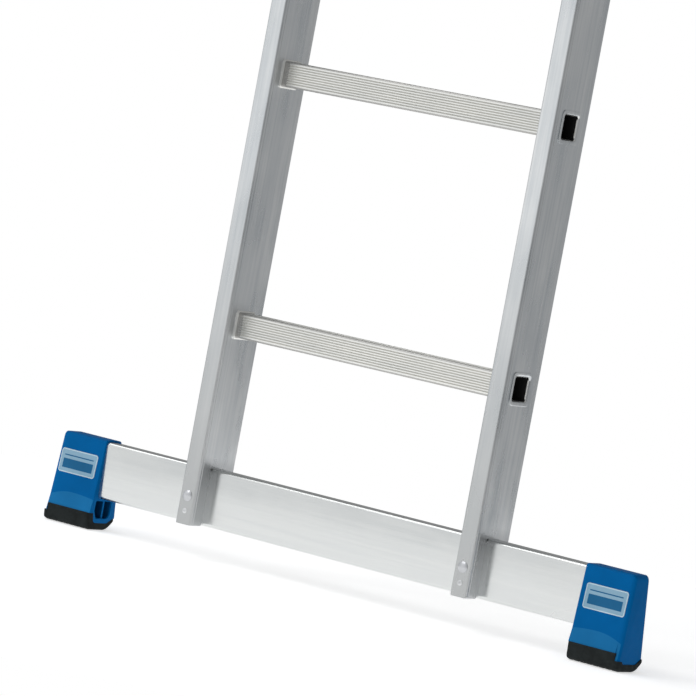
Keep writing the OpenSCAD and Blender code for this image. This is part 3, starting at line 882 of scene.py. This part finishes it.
def guide_bracket(side):
    """Folded strap round the outside and front of the fly stile."""
    lo, hi = low("guide_bracket_right"), high("guide_bracket_right")
    base_lo, base_hi = low("base_stile_right"), high("base_stile_right")
    thick = 3 * MM
    web = base_hi.x - BEAD_RISE
    run = hi.x - thick
    fold = base_lo.y + BEAD_W + 1.5 * MM
    outline = rounded([
        (web, hi.y, 0.7 * MM), (web, fold + 1.5 * MM, 1 * MM), (run, fold, 1 * MM),
        (run, lo.y + thick, 1 * MM), (lo.x, lo.y + thick, 0.8 * MM), (lo.x, lo.y, 1 * MM),
        (hi.x, lo.y, 4 * MM), (hi.x, fold + 1 * MM, 1 * MM), (web + thick, fold + 2.5 * MM, 1 * MM),
        (web + thick, hi.y, 0.8 * MM),
    ], 6)
    shape = Shape().prism("z", outline, lo.z, hi.z, 0.5 * MM)
    piece = shape.object(f"guide_bracket_{side}", side == "left")
    return give(piece, BRACKET, "base", f"guide_bracket_{side}")


def guide_liner(side):
    """Plastic channel in the strap, with a lead-in at both ends."""
    lo, hi = low("guide_liner_right"), high("guide_liner_right")
    fly_lo, fly_hi = low("fly_stile_right"), high("fly_stile_right")
    run_gap = 0.8 * MM
    inner_x = fly_hi.x + run_gap
    lip = fly_lo.y - run_gap
    pad = fly_hi.y + 0.5 * MM
    pad_x = low("base_stile_right").x + 1 * MM
    outline = rounded([
        (hi.x, hi.y, 0), (hi.x, lo.y, 0), (lo.x, lo.y, 0), (lo.x, lip, 0.4 * MM), (inner_x, lip, 1 * MM),
        (inner_x, pad, 1 * MM), (pad_x, pad, 0.5 * MM), (pad_x, hi.y, 0),
    ], 5)
    shape = Shape().prism("z", outline, lo.z, hi.z, 0.3 * MM)
    return give(shape.object(f"guide_liner_{side}", side == "left"), GREY, "base", f"guide_liner_{side}")


# ---------------------------------------------------------------- hooks and latches


def pivot_point():
    """Axis of the right-hand latch, on the pin's centre line."""
    return middle("latch_pin_right")


def rung_hook(side):
    """Pressed steel hook over a rung of the base, with rolled edges."""
    lo, hi = low("rung_hook_right"), high("rung_hook_right")
    fly_back = high("fly_stile_right").y
    fly_front = low("fly_stile_right").y
    rung_mid = middle("base_rung_1").y
    level = middle("fly_rung_1").z
    reach = RUNG_HALF + 0.9 * MM
    seat = RUNG_HALF + 0.3 * MM
    points = [
        (fly_front + 3 * MM, -78 * MM, 6), (fly_back - 8 * MM, -78 * MM, 12),
        (fly_back + 12 * MM, -40 * MM, 14), (rung_mid - reach - 4 * MM, -6 * MM, 10),
        (rung_mid - reach - 1 * MM, seat, 1), (rung_mid + reach, seat, 2),
        (rung_mid + reach, -2 * MM, 1), (rung_mid + reach + 8 * MM, -2 * MM, 3),
        (rung_mid + reach + 8 * MM, seat + 20 * MM, 14), (fly_back - 6 * MM, seat + 20 * MM, 14),
        (fly_back - 11 * MM, -22 * MM, 4), (fly_front + 3 * MM, -22 * MM, 6),
    ]
    outline = rounded([(u, v + level, r * MM) for u, v, r in points], 9)
    shape = Shape().prism("x", outline, lo.x, hi.x, 0.7 * MM)
    return give(shape.object(f"rung_hook_{side}", side == "left"), HOOK, "fly", f"rung_hook_{side}")


def safety_latch(side):
    """Moulded lever: finger below the base rung, thumb tab."""
    lo, hi = low("safety_latch_right"), high("safety_latch_right")
    pin = pivot_point()
    under = middle("fly_rung_1").z - RUNG_HALF - 2 * MM - pin.z
    points = [
        (-8, 6, 7), (8, 9, 6), (22, under / MM, 4), (41, under / MM, 2), (41, under / MM - 7, 3),
        (20, under / MM - 12, 8), (6, -9, 6), (-1, -32, 1), (-9, -32, 1), (-9, -6, 6),
    ]
    outline = rounded([(pin.y + u * MM, pin.z + v * MM, r * MM) for u, v, r in points], 7)
    shape = Shape().prism("x", outline, hi.x - 4 * MM, hi.x, 0.6 * MM)
    tab = rectangle(pin.y - 9 * MM, pin.y - 1 * MM, pin.z - 32 * MM, pin.z - 28 * MM, 1.5 * MM)
    shape.prism("x", tab, lo.x, hi.x - 1 * MM, 0.8 * MM)
    piece = shape.object(f"safety_latch_{side}", side == "left")
    return give(piece, LATCH, f"{side}_latch", f"safety_latch_{side}")


def latch_pin(side):
    """Headed pin through hook and latch."""
    lo, hi = low("latch_pin_right"), high("latch_pin_right")
    pin = pivot_point()
    head = 6.2 * MM
    seat = lo.x + 2 * MM
    shank = 3 * MM
    end = seat - hi.x
    profile = [(end, 2.6 * MM), (end + 0.4 * MM, shank), (0, shank), (0, head * 0.96), (0.3 * MM, head)]
    profile += [(0.3 * MM + 0.85 * h, r) for h, r in dome_profile(head, 2 * MM)[1:]]
    profile.append((2 * MM, 0.3 * MM))
    shape = Shape().lathe((seat, pin.y, pin.z), (-1, 0, 0), profile)
    return give(shape.object(f"latch_pin_{side}", side == "left"), ZINC, "fly", f"latch_pin_{side}")


def latch_spring(side):
    """Torsion spring of three turns round the pin, with two straight legs."""
    lo, hi = low("latch_spring_right"), high("latch_spring_right")
    pin = pivot_point()
    wire = 0.55 * MM
    coil = 4.5 * MM
    turns = 2.75
    steps = 72
    first = lo.x + wire
    last = hi.x - wire
    path = [Vector((first, pin.y - coil, pin.z - 15.5 * MM))]
    path += [Vector((first, pin.y - coil, pin.z - 8 * MM))]
    for k in range(steps + 1):
        t = k / steps
        angle = math.pi - t * turns * math.tau
        path.append(Vector((first + (last - first) * t, pin.y + coil * math.cos(angle),
                            pin.z + coil * math.sin(angle))))
    end = path[-1]
    path.append(end + Vector((0, 6 * MM, 0)))
    path.append(end + Vector((0, 14.5 * MM, 0)))
    shape = Shape().tube(path, wire * 0.92)
    return give(shape.object(f"latch_spring_{side}", side == "left"), SPRING, "fly", f"latch_spring_{side}")


# ---------------------------------------------------------------- stage


def camera():
    """Long lens, from the right and a little above, leaning with the ladder."""
    aim = Vector((-10.7 * MM, low("base_stile_right").y, middle("base_rung_1").z + 3.9 * MM))
    azimuth = math.radians(36.34)
    elevation = math.radians(3.36)
    roll = math.radians(10.53)
    distance = 5.259
    away = Vector((math.sin(azimuth) * math.cos(elevation), -math.cos(azimuth) * math.cos(elevation),
                   math.sin(elevation)))
    lens = bpy.data.cameras.new("camera")
    lens.lens = 253.3
    lens.sensor_width = 36
    lens.clip_end = 100
    view = bpy.data.objects.new("camera", lens)
    turn = (-away).to_track_quat("-Z", "Y").to_matrix().to_4x4() @ Matrix.Rotation(roll, 4, "Z")
    view.matrix_world = Matrix.Translation(aim + away * distance) @ turn
    bpy.context.scene.collection.objects.link(view)
    bpy.context.scene.camera = view


def area_light(name, spot, aim, size, power):
    """A soft square light."""
    lamp = bpy.data.lights.new(name, "AREA")
    lamp.size = size
    lamp.energy = power
    light = bpy.data.objects.new(name, lamp)
    light.location = spot
    light.rotation_euler = (Vector(aim) - Vector(spot)).to_track_quat("-Z", "Y").to_euler()
    bpy.context.scene.collection.objects.link(light)


def stage():
    """Pale floor in a soft studio: bright to the front left, dimmer elsewhere."""
    bpy.ops.mesh.primitive_circle_add(vertices=96, radius=1.0, fill_type="NGON", location=(0, 0, -0.0005))
    floor = bpy.context.object
    floor.name = "floor"
    paint = Paint("floor_paper", (0.9, 0.9, 0.9), 0.0, 0.9)
    paint.tint(paint.noise((0.5, 0.5, 0.5), 2.0), (0.89, 0.89, 0.89), (0.91, 0.91, 0.91))
    paint.shader.inputs["Emission Color"].default_value = (1, 1, 1, 1)
    paint.shader.inputs["Emission Strength"].default_value = 0.55
    floor.data.materials.append(paint.material)
    world = bpy.data.worlds.new("studio")
    world.use_nodes = True
    nodes, links = world.node_tree.nodes, world.node_tree.links
    room = nodes["Background"]
    room.inputs["Strength"].default_value = 1.0
    direction = nodes.new("ShaderNodeTexCoord").outputs["Generated"]
    across = nodes.new("ShaderNodeVectorMath")
    across.operation = "DOT_PRODUCT"
    across.inputs[1].default_value = Vector((-0.60, -0.75, 0.28)).normalized()
    links.new(direction, across.inputs[0])
    ramp = nodes.new("ShaderNodeValToRGB")
    stops = ramp.color_ramp.elements
    # a new ramp has two stops already
    for position, _ in ROOM_STOPS[2:]:
        stops.new(position)
    for stop, (position, grey) in zip(stops, ROOM_STOPS):
        stop.position = position
        stop.color = (grey, grey * 1.01, grey * 1.02, 1)
    scale = nodes.new("ShaderNodeMapRange")
    scale.inputs["From Min"].default_value = -1
    scale.inputs["From Max"].default_value = 1
    links.new(across.outputs["Value"], scale.inputs["Value"])
    links.new(scale.outputs["Result"], ramp.inputs["Fac"])
    links.new(ramp.outputs["Color"], room.inputs["Color"])
    # seen directly, the studio is plain white paper
    paper = nodes.new("ShaderNodeBackground")
    paper.inputs["Color"].default_value = (1, 1, 1, 1)
    seen = nodes.new("ShaderNodeMixShader")
    links.new(nodes.new("ShaderNodeLightPath").outputs["Is Camera Ray"], seen.inputs["Fac"])
    links.new(room.outputs["Background"], seen.inputs[1])
    links.new(paper.outputs["Background"], seen.inputs[2])
    links.new(seen.outputs["Shader"], nodes["World Output"].inputs["Surface"])
    bpy.context.scene.world = world
    bpy.context.scene.view_settings.view_transform = "Standard"
    area_light("key", (-2.6, -4.0, 5.0), (0, 0, 0.3), 2.5, 45)
    area_light("top", (-3.0, -0.6, 4.2), (0, 0, 0.3), 1.8, 18)


# ---------------------------------------------------------------- the ladder

camera()
for section in SECTIONS:
    for side in SIDES:
        stile(section, side)
    for number in range(1, RUNGS + 1):
        rung(section, number)
crossbar()
crossbar_bolts()
crossbar_rivets()
cap_rivets()
guide_lo, guide_hi = low("guide_bracket_right"), high("guide_bracket_right")
guide_front = low("base_stile_right").y
guide_mid = (guide_lo.z + guide_hi.z) / 2
guide_web = high("base_stile_right").x - BEAD_RISE
plate_rivets("guide_rivet_set", "guide_rivets", guide_web + 3 * MM, 1, 3 * MM + WALL,
             [(guide_front + 18 * MM, guide_lo.z + 14 * MM), (guide_front + 18 * MM, guide_hi.z - 14 * MM),
              (guide_front + 42 * MM, guide_mid)], "base")
hook_front = low("fly_stile_right").y
hook_level = middle("fly_rung_1").z
plate_rivets("hook_rivet_set", "hook_rivets", low("rung_hook_right").x, -1, 5 * MM + BEAD_RISE + WALL,
             [(hook_front + 12 * MM, hook_level - 36 * MM), (hook_front + 12 * MM, hook_level - 66 * MM),
              (hook_front + 42 * MM, hook_level - 66 * MM)], "fly")
for side in SIDES:
    foot_cap(side)
    foot_sole(side)
    label_plate(side)
    plug("base", "top", side)
    plug("fly", "top", side)
    plug("fly", "foot", side)
    slide_pad(side)
    guide_bracket(side)
    guide_liner(side)
    rung_hook(side)
    safety_latch(side)
    latch_pin(side)
    latch_spring(side)
for node in ("crossbar_nuts", "bolt_sleeves"):
    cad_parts[node].data.materials.clear()
    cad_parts[node].data.materials.append(ZINC)
stage()
